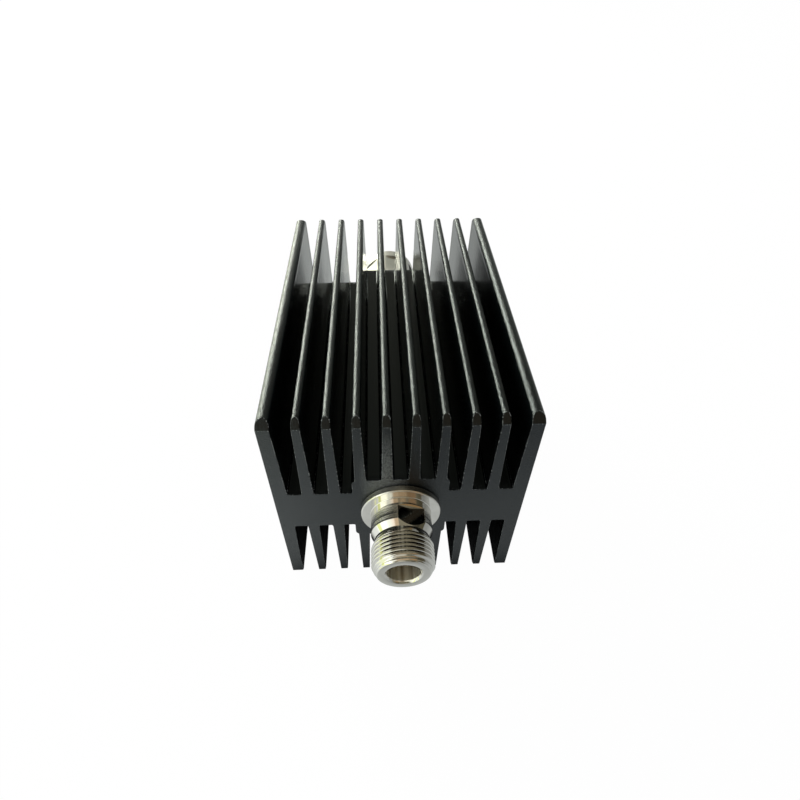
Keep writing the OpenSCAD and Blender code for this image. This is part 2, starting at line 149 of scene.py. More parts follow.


# %% [markdown]
# ## Skins turned round an axis
# The jack and the nut are turned parts, so each is a list of rings round the port axis.
# A lathe tool such as Spin or the Screw modifier would give perfectly round rings only.
# Here a ring may also carry one radius per column, which is what a milled wrench flat
# needs, so the skin is written out one by one: rings of points, and quads between them.
# A ring's place s runs out along the port axis from the heat sink's end face.


# %% Helper: a skin from rings
def ring_skin(rings, columns, phase=0.0):
    """A mesh in the port frame, in mm. Each ring is (radius, s) or a list of such pairs."""
    mesh = bmesh.new()
    made = []
    for ring in rings:
        pairs = ring if isinstance(ring, list) else [ring] * columns
        row = []
        for column, (radius, s) in enumerate(pairs):
            angle = phase + 2 * math.pi * column / columns
            row.append(mesh.verts.new((radius * math.cos(angle), radius * math.sin(angle), s)))
        made.append(row)
    for low, high in zip(made, made[1:]):
        for column in range(columns):
            beside = (column + 1) % columns
            mesh.faces.new((low[column], low[beside], high[beside], high[column]))
    bmesh.ops.remove_doubles(mesh, verts=mesh.verts, dist=MERGE_WITHIN)
    print("skin of", len(rings), "rings of", columns, "points")
    return mesh


# %% Helper: broken edges
SHARP_OVER = math.radians(24)  # an edge where the skin turns by more than this is sharp


def soften(mesh, width):
    """Breaks every sharp edge of a skin with a small round, and returns the new faces."""
    mesh.normal_update()
    sharp = [e for e in mesh.edges
             if len(e.link_faces) == 2 and e.calc_face_angle(0.0) > SHARP_OVER]
    rounds = bmesh.ops.bevel(mesh, geom=sharp, offset=width, segments=2, profile=0.5,
                             affect="EDGES", clamp_overlap=False)["faces"]
    print("softened", len(sharp), "edges by", width, "mm")
    return rounds


# %% Helper: from a skin to a piece of the frame
SMOOTH_UNDER = math.radians(32)  # faces that meet at less than this shade as one


def hand_over(skin, name, place, material, body, node_name):
    """Writes a closed skin in mm as a piece that rides on a body and stands for a node."""
    bmesh.ops.recalc_face_normals(skin, faces=skin.faces)
    open_edges = sum(1 for e in skin.edges if len(e.link_faces) != 2)
    bmesh.ops.transform(skin, matrix=place @ Matrix.Scale(MM, 4), verts=skin.verts)
    mesh = bpy.data.meshes.new(name)
    skin.to_mesh(mesh)
    skin.free()
    mesh.materials.append(material)
    mesh.shade_smooth()
    mesh.set_sharp_from_angle(angle=SMOOTH_UNDER)
    piece = add_object(name, mesh)
    # Large faces keep their own direction, so only the small rounds between them blend
    even = piece.modifiers.new("even_shading", "WEIGHTED_NORMAL")
    even.keep_sharp = True
    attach(piece, body)
    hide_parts(node_name)
    print(name, len(mesh.polygons), "faces,", open_edges, "edges not closed")


# %% [markdown]
# ## The coupling thread
# A screw thread is one groove that climbs a fixed pitch each turn. It could be a bump in
# the material, but then the outline would stay smooth and the mesh would be a plain
# cylinder. It could be a swept ridge, but a ridge pushed into a core leaves two shells.
# Geometry Nodes can do better: a flat grid is wrapped round the axis, each row climbs
# with the angle, and the radius follows the thread's form. Past both ends the rows are
# held at one height, where they fall together into a plain ring that fits the rest.

# %% The thread's named sizes
THREAD_PITCH = 25.4 / 24
THREAD_SIZES = (
    ("Crest Radius", 7.94), ("Depth", 0.6), ("Pitch", THREAD_PITCH), ("Start", 12.0),
    ("End", 19.0), ("Start Radius", 6.95), ("End Radius", 6.55), ("Start Slope", 1.2),
    ("End Slope", 1.39), ("Outward", 1.0), ("Phase", 0.0), ("Nose Cut", 0.0))
THREAD_COUNTS = (("Columns", 144), ("Rows Per Turn", 16), ("Turns", 8))
CREST_TO, ROOT_FROM = 0.02, 0.48  # ends of the flank, in pitches from the crest's middle
NOSE_CUT_RISE = 3.0  # per mm: how soon the grooves in the end cone reach their full depth
print("thread inputs:", len(THREAD_SIZES) + len(THREAD_COUNTS), "and a material")


# %% Helper: the thread's form
def thread_radius(tree, given, along, s):
    """Distance from the axis: crest, flanks and root, held inside a cone at either end.

    Outward is 1 for a thread that faces out and -1 for one that faces in.
    """
    from_crest = maths(tree, "ABSOLUTE",
                       maths(tree, "SUBTRACT", maths(tree, "FRACT", along), 0.5))
    fall = ramp(tree, from_crest, CREST_TO, ROOT_FROM, smooth=True)
    crest = maths(tree, "MULTIPLY", given["Crest Radius"], given["Outward"])
    form = maths(tree, "SUBTRACT", crest, maths(tree, "MULTIPLY", fall, given["Depth"]))

    from_start = maths(tree, "SUBTRACT", s, given["Start"])
    to_end = maths(tree, "SUBTRACT", given["End"], s)
    start_rim = maths(tree, "MULTIPLY", given["Start Radius"], given["Outward"])
    end_rim = maths(tree, "MULTIPLY", given["End Radius"], given["Outward"])
    run_in = maths(tree, "MULTIPLY_ADD", from_start, given["Start Slope"], start_rim)
    run_out = maths(tree, "MULTIPLY_ADD", to_end, given["End Slope"], end_rim)
    # The groove runs out through the end cone, which dips a little along it
    nose_cut = maths(tree, "MULTIPLY", maths(tree, "MULTIPLY", fall, given["Nose Cut"]),
                     maths(tree, "MINIMUM", maths(tree, "MULTIPLY", to_end, NOSE_CUT_RISE), 1.0))
    run_out = maths(tree, "SUBTRACT", run_out, nose_cut)
    signed = maths(tree, "MINIMUM", form, maths(tree, "MINIMUM", run_in, run_out))
    return maths(tree, "MULTIPLY", signed, given["Outward"])


# %% Geometry Nodes: the thread's skin
def thread_tree():
    """A grid, wrapped round the axis so that its rows climb one pitch each turn."""
    tree = bpy.data.node_groups.new("thread_skin", "GeometryNodeTree")
    face = tree.interface
    face.new_socket("Geometry", in_out="OUTPUT", socket_type="NodeSocketGeometry")
    for sockets, kind in ((THREAD_SIZES, "NodeSocketFloat"), (THREAD_COUNTS, "NodeSocketInt")):
        for name, value in sockets:
            face.new_socket(name, in_out="INPUT", socket_type=kind).default_value = value
    face.new_socket("Material", in_out="INPUT", socket_type="NodeSocketMaterial")
    given = put(tree, "NodeGroupInput").outputs

    rows = maths(tree, "MULTIPLY", given["Rows Per Turn"], given["Turns"])
    grid = put(tree, "GeometryNodeMeshGrid", {
        "Size X": 1.0, "Size Y": 1.0,
        "Vertices X": maths(tree, "ADD", given["Columns"], 1.0),
        "Vertices Y": maths(tree, "ADD", rows, 1.0)})
    place = put(tree, "ShaderNodeSeparateXYZ",
                {0: put(tree, "GeometryNodeInputPosition").outputs[0]}).outputs
    around = maths(tree, "ADD", place[0], 0.5)
    along = maths(tree, "MULTIPLY", maths(tree, "ADD", place[1], 0.5), given["Turns"])

    climbed = maths(tree, "ADD", around, along)
    free_s = maths(tree, "MULTIPLY_ADD", maths(tree, "SUBTRACT", climbed, 1.0),
                   given["Pitch"], given["Start"])
    s = maths(tree, "MINIMUM", maths(tree, "MAXIMUM", free_s, given["Start"]), given["End"])
    radius = thread_radius(tree, given, along, s)

    angle = maths(tree, "MULTIPLY_ADD", around, 2 * math.pi, given["Phase"])
    wrapped = put(tree, "ShaderNodeCombineXYZ", {
        0: maths(tree, "MULTIPLY", radius, maths(tree, "COSINE", angle)),
        1: maths(tree, "MULTIPLY", radius, maths(tree, "SINE", angle)),
        2: s})
    moved = put(tree, "GeometryNodeSetPosition", {
        "Geometry": grid.outputs["Mesh"], "Position": wrapped.outputs[0]})
    merged = put(tree, "GeometryNodeMergeByDistance", {
        "Geometry": moved.outputs[0], "Distance": MERGE_WITHIN})
    real = put(tree, "GeometryNodeRealizeInstances", {0: merged.outputs[0]})
    dressed = put(tree, "GeometryNodeSetMaterial", {
        "Geometry": real.outputs[0], "Material": given["Material"]})
    put(tree, "NodeGroupOutput", {0: dressed.outputs[0]})
    return tree


THREAD_TREE = thread_tree()
print("thread tree nodes:", len(THREAD_TREE.nodes))


# %% Helper: run a Geometry Nodes tree into a plain mesh
def grown_mesh(tree, values):
    """Evaluates a tree on an empty carrier and returns the result as a plain mesh."""
    carrier = add_object("carrier", bpy.data.meshes.new("carrier"))
    modifier = carrier.modifiers.new("grow", "NODES")
    modifier.node_group = tree
    sockets = {s.name: s.identifier for s in tree.interface.items_tree if s.in_out == "INPUT"}
    for name, value in values.items():
        modifier[sockets[name]] = value
    graph = bpy.context.evaluated_depsgraph_get()
    mesh = bpy.data.meshes.new_from_object(carrier.evaluated_get(graph))
    carrier.modifiers.remove(modifier)
    bpy.data.objects.remove(carrier)
    print("grew", tree.name, len(mesh.vertices), "points")
    return mesh


# %% [markdown]
# ## Grain, marks and smudges
# Three small effects are shared by most finishes here. Blasted grain is what glass beads
# leave on the aluminium before it is anodised. Turning marks are the fine rings of a
# lathe tool, and their group also tells apart the places where they are coarser.
# Smudges are where handling has changed the gloss. Each could be drawn anew in every
# material, but a node group with its own sizes is made once and used at any scale.


# %% Helper: a node group with named sockets
def effect(name, inputs, outputs):
    """Starts a group. Returns it with its inputs and the place on the object, in metres."""
    tree = bpy.data.node_groups.new(name, "ShaderNodeTree")
    for label, value in inputs:
        tree.interface.new_socket(label, in_out="INPUT",
                                  socket_type="NodeSocketFloat").default_value = value
    for label in outputs:
        tree.interface.new_socket(label, in_out="OUTPUT", socket_type="NodeSocketFloat")
    given = put(tree, "NodeGroupInput").outputs
    spot = put(tree, "ShaderNodeTexCoord").outputs["Object"]
    return tree, given, spot


# %% Group: blasted grain
FINE_GRAIN = 2.6  # how many times smaller the fine grain is than the coarse
SPARKLE_SPAN = 0.12  # how far over Sparkle From a grain is at its brightest

GRAIN, given, spot = effect("blasted_grain", [("Size", 0.25), ("Fine Share", 0.4),
                                              ("Sparkle From", 0.58)], ["Height", "Sparkle"])
per_metre = maths(GRAIN, "DIVIDE", 1 / MM, given["Size"])
coarse = noise(GRAIN, spot, per_metre, detail=2.0, roughness=0.6)
fine = noise(GRAIN, spot, maths(GRAIN, "MULTIPLY", per_metre, FINE_GRAIN))
sparkle_to = maths(GRAIN, "ADD", given["Sparkle From"], SPARKLE_SPAN)
put(GRAIN, "NodeGroupOutput", {
    "Height": maths(GRAIN, "MULTIPLY_ADD", fine, given["Fine Share"], coarse),
    "Sparkle": ramp(GRAIN, coarse, given["Sparkle From"], sparkle_to)})
print("effect", GRAIN.name, len(GRAIN.nodes), "nodes")

# %% Group: turning marks, where the axis is the lathe's
MARKS, given, spot = effect("turning_marks", [
    ("Spacing", 0.08), ("Bore Radius", 4.4), ("Rim Radius", 10.45), ("Land Radius", 7.92),
    ("Land From", 54.0), ("Land To", 58.0), ("Satin Behind", 52.0)],
    ["Height", "Mask", "Bore", "Rim", "Land", "Streaks", "Satin"])
BROAD_MARKS = 0.12  # spacing of the fine marks against that of the broad ones
STREAKS_AROUND = 2.6  # streaks down the bore, per radian

x, y, z = put(MARKS, "ShaderNodeSeparateXYZ", {0: spot}).outputs
off_axis = maths(MARKS, "SUBTRACT", z, AXIS_Z * MM)
radial = maths(MARKS, "SQRT", maths(MARKS, "ADD", maths(MARKS, "POWER", x, 2.0),
                                    maths(MARKS, "POWER", off_axis, 2.0)))
on_lathe = put(MARKS, "ShaderNodeCombineXYZ", {0: radial, 1: y}).outputs[0]
per_metre = maths(MARKS, "DIVIDE", 1 / MM, given["Spacing"])
cuts = noise(MARKS, on_lathe, per_metre)
broad = noise(MARKS, on_lathe, maths(MARKS, "MULTIPLY", per_metre, BROAD_MARKS))
# Streaks round the bore's axis, for the reflections painted in the bore
streaks = put(MARKS, "ShaderNodeTexNoise", {
    "W": maths(MARKS, "ARCTAN2", off_axis, x), "Scale": STREAKS_AROUND, "Detail": 1.0},
    noise_dimensions="1D").outputs[0]

# %% The same group: bore, rim, land and satin rear
radial_mm = maths(MARKS, "MULTIPLY", radial, 1 / MM)
forward_mm = maths(MARKS, "MULTIPLY", y, -1 / MM)
in_bore = maths(MARKS, "LESS_THAN", radial_mm, given["Bore Radius"])
on_rim = maths(MARKS, "GREATER_THAN", radial_mm, given["Rim Radius"])
on_land = maths(MARKS, "GREATER_THAN", radial_mm, given["Land Radius"])
for test, limit in (("GREATER_THAN", "Land From"), ("LESS_THAN", "Land To")):
    on_land = maths(MARKS, "MULTIPLY", on_land, maths(MARKS, test, forward_mm, given[limit]))
at_rear = maths(MARKS, "LESS_THAN", forward_mm,
                maths(MARKS, "MULTIPLY", given["Satin Behind"], -1.0))
put(MARKS, "NodeGroupOutput", {
    "Height": cuts, "Mask": broad, "Bore": in_bore, "Rim": on_rim, "Land": on_land,
    "Streaks": streaks, "Satin": at_rear})
print("effect", MARKS.name, len(MARKS.nodes), "nodes")

# %% Group: smudges
SMUDGE_FROM, SMUDGE_TO = 0.33, 0.67  # the part of the noise that is stretched to 0 to 1

SMUDGES, given, spot = effect("smudges", [("Size", 8.0)], ["Value"])
cloud = noise(SMUDGES, spot, maths(SMUDGES, "DIVIDE", 1 / MM, given["Size"]),
              detail=5.0, roughness=0.62, distortion=0.6)
put(SMUDGES, "NodeGroupOutput", {"Value": ramp(SMUDGES, cloud, SMUDGE_FROM, SMUDGE_TO)})
print("effect", SMUDGES.name, len(SMUDGES.nodes), "nodes")

# %% [markdown]
# ## Finishes
# Every finish is a Principled surface whose colour and roughness are stirred a little by
# the shared effects, with a bump on top. Constants such as the refractive index are set
# on the shader itself, because they hold all over the piece. A picture could carry the
# same detail, but it would have one fixed size, and these effects are sharp at any.


# %% Helper: start a material
def empty_material(name):
    """A material without nodes, and its tree."""
    material = bpy.data.materials.new(name)
    material.use_nodes = True
    material.node_tree.nodes.clear()
    return material, material.node_tree


def finish_of(name, metallic, ior=1.5):
    """A material with a Principled surface, its tree and its shader."""
    material, tree = empty_material(name)
    shader = put(tree, "ShaderNodeBsdfPrincipled", {"Metallic": metallic, "IOR": ior})
    put(tree, "ShaderNodeOutputMaterial", {0: shader.outputs[0]})
    print("finish", name)
    return material, tree, shader


# %% Helpers: use an effect in a material
def use(tree, group, **values):
    """Places an effect and returns its outputs."""
    labels = {key.replace("_", " "): value for key, value in values.items()}
    return put(tree, "ShaderNodeGroup", labels, node_tree=group).outputs


def stirred(tree, mask, low, high):
    """A value that a mask moves between two levels."""
    return ramp(tree, mask, 0.0, 1.0, low, high)


def raise_bump(tree, shader, height, depth_mm):
    """Lets a height lean the surface's direction."""
    bump = put(tree, "ShaderNodeBump", {"Height": height, "Distance": depth_mm * MM,
                                        "Strength": 1.0})
    tree.links.new(bump.outputs[0], shader.inputs["Normal"])


# %% [markdown]
# ### Where the blast reaches
# The heat sink is bead blasted before it is dyed. The beads reach the crests, the sides
# and the ends, but hardly the walls between the fins, which keep the smooth finish of the
# extrusion. That could be painted face by face, but a measure of depth does it for all
# faces at once: how far a point lies under the block's outer sides.

# %% Group: where the blast reaches
BLAST_FROM = 0.2  # depth under the outer sides down to which the blast is full

REACH, given, spot = effect("blast_reach", [("Half Width", 33.0), ("Half Height", 34.25),
                                            ("Half Length", HALF_LEN), ("Depth", 2.4)],
                            ["Mask"])
x, y, z = put(REACH, "ShaderNodeSeparateXYZ", {0: spot}).outputs
off_axis = maths(REACH, "SUBTRACT", z, AXIS_Z * MM)
reached = 0.0
for offset, limit in ((x, "Half Width"), (y, "Half Length"), (off_axis, "Half Height")):
    offset_mm = maths(REACH, "MULTIPLY", maths(REACH, "ABSOLUTE", offset), 1 / MM)
    under = maths(REACH, "SUBTRACT", given[limit], offset_mm)
    near = ramp(REACH, under, BLAST_FROM, given["Depth"], at_low=1.0, at_high=0.0)
    reached = maths(REACH, "MAXIMUM", reached, near)
put(REACH, "NodeGroupOutput", {"Mask": reached})
print("effect", REACH.name, len(REACH.nodes), "nodes")

# %% [markdown]
# ### Painted light and rub marks above the port
# Above the flange the black end face looks paler and speckled, because the bright metal
# throws light on it and cables rub it. A lamp of its own could light it, but it would
# light the fins too. So that light is painted into the finish, with the rub marks, by a
# mask that stays where it belongs: an ellipse on the end face that fades towards its
# edge, and later lets single grains show pale, as painted light and as metal showing through.

# %% Group: painted light from the flange, and rub marks, on the end face above the port
PAINTED_FLANGE_LIGHT_AND_RUB, given, spot = effect("painted_flange_light_and_rub", [
    ("Middle X", -4.2), ("Middle Z", 47.0), ("Half Width", 6.5), ("Half Height", 18.0),
    ("End Face Y", -49.9), ("Most", 0.30)], ["Mask"])
x, y, z = put(PAINTED_FLANGE_LIGHT_AND_RUB, "ShaderNodeSeparateXYZ", {0: spot}).outputs
squares = []
for offset, middle, half in ((x, "Middle X", "Half Width"), (z, "Middle Z", "Half Height")):
    off_mm = maths(PAINTED_FLANGE_LIGHT_AND_RUB, "MULTIPLY_ADD", offset, 1 / MM,
                   maths(PAINTED_FLANGE_LIGHT_AND_RUB, "MULTIPLY", given[middle], -1.0))
    squares.append(maths(PAINTED_FLANGE_LIGHT_AND_RUB, "POWER", maths(PAINTED_FLANGE_LIGHT_AND_RUB, "DIVIDE", off_mm, given[half]), 2.0))
away = maths(PAINTED_FLANGE_LIGHT_AND_RUB, "ADD", *squares)
fading = maths(PAINTED_FLANGE_LIGHT_AND_RUB, "MAXIMUM", maths(PAINTED_FLANGE_LIGHT_AND_RUB, "SUBTRACT", 1.0, away), 0.0)
on_end = maths(PAINTED_FLANGE_LIGHT_AND_RUB, "LESS_THAN", maths(PAINTED_FLANGE_LIGHT_AND_RUB, "MULTIPLY", y, 1 / MM), given["End Face Y"])
put(PAINTED_FLANGE_LIGHT_AND_RUB, "NodeGroupOutput", {"Mask": maths(
    PAINTED_FLANGE_LIGHT_AND_RUB, "MULTIPLY", maths(PAINTED_FLANGE_LIGHT_AND_RUB, "MULTIPLY", fading, on_end), given["Most"])})
print("effect", PAINTED_FLANGE_LIGHT_AND_RUB.name, len(PAINTED_FLANGE_LIGHT_AND_RUB.nodes), "nodes")

# %% [markdown]
# ### Black anodised aluminium
# The blasted block is dyed black while its oxide grows. Up close it sparkles, further
# away it is a soft satin black. A dark grey would look dusty. A nearly black base under a
# clear gloss is right: no colour of its own, but a cool sheen at low angles. Along the
# edges single grains are painted pale: painted glints, where the oxide has also chipped.
# Above the port the same pale grains are painted light thrown by the flange, and rub
# marks.
# The smooth walls between the fins carry only faint lines along the extrusion's length.

# %% Finish: anodised
SHEEN = (0.84, 0.94, 1.0)
DYE_DARK, DYE_LIGHT = (0.0014, 0.0024, 0.0031), (0.0026, 0.0036, 0.0040)
# Pale grains: painted glints on the edges and painted light above the port, with metal showing
# through too
PALE_GLINT_AND_BARE_GRAIN = (0.40, 0.42, 0.40)
SATIN = (0.15, 0.19)  # roughness, less where a grain sparkles
SPARKLE_GLOSS = -0.07
LINES_PER_METRE = (900.0, 14.0, 900.0)  # close together across, long along the block
LINES_SHARE = 0.06  # height of the lines against that of the grain
GRAIN_DEPTH = 0.14

ANODISED, tree, shader = finish_of("anodised_black", 0.0, ior=1.42)
shader.inputs["Specular Tint"].default_value = (*SHEEN, 1.0)
grain = use(tree, GRAIN, Size=0.40, Fine_Share=0.35)
edge_glints_and_chips = use(tree, GRAIN, Size=0.34, Sparkle_From=0.52)["Sparkle"]
smudge = use(tree, SMUDGES, Size=14.0)["Value"]
reach = use(tree, REACH)["Mask"]
# Pale grains on the rounded edges: painted glints, where the oxide has also chipped
painted_glint_and_wear = put(tree, "ShaderNodeAttribute", attribute_name="painted_glint_and_wear").outputs["Fac"]
# Pale grains above the port: painted light thrown by the flange, and rub marks
flange_light_and_rub = maths(tree, "MULTIPLY", use(tree, PAINTED_FLANGE_LIGHT_AND_RUB)["Mask"],
               use(tree, GRAIN, Size=0.22, Sparkle_From=0.40)["Sparkle"])
# Both masks paint pale grains into the base colour: painted light, with metal showing through
# too
glint_and_bare = maths(tree, "MULTIPLY_ADD", painted_glint_and_wear, edge_glints_and_chips, flange_light_and_rub)
tree.links.new(mixed(tree, glint_and_bare, mixed(tree, smudge, DYE_DARK, DYE_LIGHT), PALE_GLINT_AND_BARE_GRAIN),
               shader.inputs["Base Color"])
tree.links.new(maths(tree, "ADD", stirred(tree, smudge, *SATIN),
                     maths(tree, "MULTIPLY", grain["Sparkle"], SPARKLE_GLOSS)),
               shader.inputs["Roughness"])

# %% The same finish: grain where the blast reaches, lines elsewhere
stretched = put(tree, "ShaderNodeMapping", {
    "Vector": put(tree, "ShaderNodeTexCoord").outputs["Object"],
    "Scale": LINES_PER_METRE}).outputs[0]
lines = noise(tree, stretched, 1.0, detail=2.0)
relief = put(tree, "ShaderNodeMix", {
    0: reach, 2: maths(tree, "MULTIPLY", lines, LINES_SHARE), 3: grain["Height"]}).outputs[0]
raise_bump(tree, shader, relief, GRAIN_DEPTH)
print("anodised tree nodes:", len(tree.nodes))

# %% [markdown]
# ### Nickel plate
# The port bodies are turned brass under bright nickel, a slightly warm mirror. Turning
# marks show through the plate, and handling leaves faint smudges. One plain mirror would
# look like glass, so the marks are deeper where the tool cut across: on the flange's rim
# and on the land between the wrench flats. The bore is satin, and pale and dark streaks
# down its length are painted reflections in its colour. Everything at the rear end is
# satin too.

# %% Finish: nickel
PLATE_DARK, PLATE_LIGHT = (0.60, 0.585, 0.55), (0.68, 0.665, 0.63)
BORE_DARK, BORE_LIGHT = (0.34, 0.30, 0.24), (0.98, 0.98, 0.94)
STREAK_CONTRAST = (-1.0, 2.2)  # past 0 and 1, so that most of a streak is at full tone
SMUDGE_ROUGH, MARKS_ROUGH = (0.025, 0.05), (0.0, 0.02)
ROUGHER = (("Land", 0.05), ("Bore", 0.42), ("Satin", 0.24), ("Rim", 0.16))
DEEPER = (("Rim", 10.0), ("Land", 13.0))  # times the depth of the other marks
MARKS_DEPTH = 0.004

NICKEL, tree, shader = finish_of("nickel_plate", 1.0)
marks = use(tree, MARKS, Spacing=0.10)
smudge = use(tree, SMUDGES, Size=5.0)["Value"]
plate = mixed(tree, smudge, PLATE_DARK, PLATE_LIGHT)
# Painted reflections: pale and dark streaks down the bore, in its colour
streaky = mixed(tree, stirred(tree, marks["Streaks"], *STREAK_CONTRAST), BORE_DARK, BORE_LIGHT)
tree.links.new(mixed(tree, marks["Bore"], plate, streaky), shader.inputs["Base Color"])
rough = maths(tree, "ADD", stirred(tree, smudge, *SMUDGE_ROUGH),
              stirred(tree, marks["Mask"], *MARKS_ROUGH))
for zone, more in ROUGHER:
    rough = maths(tree, "MULTIPLY_ADD", marks[zone], more, rough)
tree.links.new(rough, shader.inputs["Roughness"])
deep = 1.0
for zone, more in DEEPER:
    deep = maths(tree, "MULTIPLY_ADD", marks[zone], more, deep)
raise_bump(tree, shader, maths(tree, "MULTIPLY", marks["Height"], deep), MARKS_DEPTH)
print("nickel tree nodes:", len(tree.nodes))

# %% [markdown]
# ### Gold, brass, steel and bare aluminium
# The contacts, bushes, spring ring, screws and carrier are metals too. Each could get a
# tree of its own, but they differ only in colour, roughness and depth of marks, so one
# recipe serves them all. The fired silver print on the card is near enough to join them.


# %% Finishes: the other metals
def machined(name, dark, light, rough, spacing, depth):
    """A turned or milled metal. rough is its roughness between and on the broad marks."""
    material, tree, shader = finish_of(name, 1.0)
    marks = use(tree, MARKS, Spacing=spacing)
    smudge = use(tree, SMUDGES, Size=3.0)["Value"]
    tree.links.new(mixed(tree, smudge, dark, light), shader.inputs["Base Color"])
    tree.links.new(stirred(tree, marks["Mask"], *rough), shader.inputs["Roughness"])
    raise_bump(tree, shader, marks["Height"], depth)
    return material


GOLD = machined("gold_plate", dark=(0.78, 0.54, 0.22), light=(0.88, 0.64, 0.30),
                rough=(0.14, 0.24), spacing=0.06, depth=0.001)
BRASS = machined("bare_brass", dark=(0.60, 0.42, 0.17), light=(0.76, 0.57, 0.27),
                 rough=(0.22, 0.36), spacing=0.10, depth=0.002)
STEEL = machined("spring_steel", dark=(0.36, 0.36, 0.36), light=(0.50, 0.50, 0.49),
                 rough=(0.22, 0.34), spacing=0.07, depth=0.001)
BARE = machined("bare_aluminium", dark=(0.66, 0.67, 0.68), light=(0.76, 0.77, 0.78),
                rough=(0.26, 0.40), spacing=0.12, depth=0.003)
SILVER = machined("silver_film", dark=(0.60, 0.60, 0.60), light=(0.74, 0.74, 0.72),
                  rough=(0.32, 0.46), spacing=0.15, depth=0.002)

# %% [markdown]
# ### Plastics, rubber and ceramic
# The beads, seals, gasket and card scatter light inside and have a soft gloss. Their
# grain is finer than the blast grain, and their colour wanders slowly over the piece.
# Scattering under the skin could be traced, but on pieces this dense it wouldn't show.


# %% Finishes: what isn't metal
def moulded(name, dark, light, rough, grain_size, depth, ior=1.45):
    """A moulded, fired or printed surface, with a fine grain of grain_size mm."""
    material, tree, shader = finish_of(name, 0.0, ior)
    grain = use(tree, GRAIN, Size=grain_size, Fine_Share=0.5)
    smudge = use(tree, SMUDGES, Size=6.0)["Value"]
    tree.links.new(mixed(tree, smudge, dark, light), shader.inputs["Base Color"])
    tree.links.new(stirred(tree, smudge, *rough), shader.inputs["Roughness"])
    raise_bump(tree, shader, grain["Height"], depth)
    return material


FLUORO = moulded("fluoropolymer", dark=(0.78, 0.78, 0.74), light=(0.88, 0.88, 0.85),
                 rough=(0.35, 0.5), grain_size=0.3, depth=0.003, ior=1.36)
BLACK_RUBBER = moulded("black_rubber", dark=(0.010, 0.010, 0.010), light=(0.022, 0.022, 0.021),
                       rough=(0.5, 0.7), grain_size=0.2, depth=0.01)
RED_RUBBER = moulded("red_rubber", dark=(0.38, 0.045, 0.030), light=(0.52, 0.085, 0.055),
                     rough=(0.45, 0.65), grain_size=0.2, depth=0.008)
CERAMIC = moulded("white_ceramic", dark=(0.82, 0.81, 0.76), light=(0.90, 0.89, 0.85),
                  rough=(0.40, 0.55), grain_size=0.12, depth=0.002, ior=1.7)
RESISTOR = moulded("resistor_film", dark=(0.020, 0.019, 0.018), light=(0.040, 0.038, 0.035),
                   rough=(0.35, 0.5), grain_size=0.1, depth=0.002)

# %% [markdown]
# ## Dress the CAD nodes
# Every solid keeps its mesh and gets a better material. Its slot already bears the name
# of a finish, so a table from slot to material dresses them all in one loop.

# %% Dress the CAD nodes
DRESS = {
    "anodised": ANODISED, "nickel": NICKEL, "gold": GOLD, "fluoropolymer": FLUORO,
    "bare_brass": BRASS, "black_rubber": BLACK_RUBBER, "red_rubber": RED_RUBBER,
    "spring_steel": STEEL, "plain_aluminium": BARE, "ceramic": CERAMIC,
    "silver_film": SILVER, "resistor_film": RESISTOR,
}
for name, node in sorted(nodes.items()):
    slot = node.material_slots[0].name
    node.data.materials.clear()
    node.data.materials.append(DRESS[slot])
    print("dressed", name, "in", slot)

# %% [markdown]
# ## The heat sink with broken edges
# A solid's edges are perfectly sharp. On the real extrusion, sawing, tumbling and
# blasting leave a small round on every edge, and these rounds glint. The CAD mesh may not
# be changed, so a copy is made. Its triangles are merged and flat ones joined, or else
# every triangle side would count as an edge, and then each sharp edge is rounded. An
# attribute, which the anodised finish reads, paints pale grains on the rounds: painted
# glints, where the oxide has also chipped. Rounds that face up and forward, and rounds
# that face as the sawn chamfers do, get none and stay black.

# %% A clean copy of the heat sink
FLAT_UNDER = math.radians(0.5)  # triangles that meet at less than this are one face

fins = bmesh.new()
fins.from_mesh(nodes["heat_sink"].data)
bmesh.ops.scale(fins, vec=(1 / MM, 1 / MM, 1 / MM), verts=fins.verts)
bmesh.ops.remove_doubles(fins, verts=fins.verts, dist=MERGE_WITHIN)
bmesh.ops.dissolve_limit(fins, angle_limit=FLAT_UNDER, verts=fins.verts, edges=fins.edges)
print("heat sink copy:", len(fins.faces), "faces")

# %% Round its edges, and paint glints and chipped oxide on them
SINK_ROUND, EDGE_GLINT_AND_WEAR = 0.16, 0.8


def stays_black(normal):
    """True for a round that faces up and forward, or at 45 degrees as the chamfers do."""
    up_and_forward = normal.y < -0.7 and normal.z > 0.3
    as_chamfer = abs(abs(normal.y) - abs(normal.z)) < 0.01 and abs(normal.y) > 0.6
    return up_and_forward or as_chamfer


# The rounds get painted glints and chipped oxide, except those that stay black
glint_and_wear_layer = fins.faces.layers.float.new("painted_glint_and_wear")
for face in soften(fins, SINK_ROUND):
    face[glint_and_wear_layer] = 0.0 if stays_black(face.normal) else EDGE_GLINT_AND_WEAR
hand_over(fins, "rounded_heat_sink", Matrix.Identity(4), ANODISED, "housing", "heat_sink")

# %% [markdown]
# ## The front jack
# One turned piece: flange, round body with two wrench flats, a cone down to the relief,
# and the coupling thread. It could be cut from a cylinder with Booleans, but they leave
# ragged triangles that glint. The flats' corners fall on whole columns of the skin, and
# the edge where a flat runs out on the cone is worked out column by column, so it is the
# true curved edge that the milled part has.

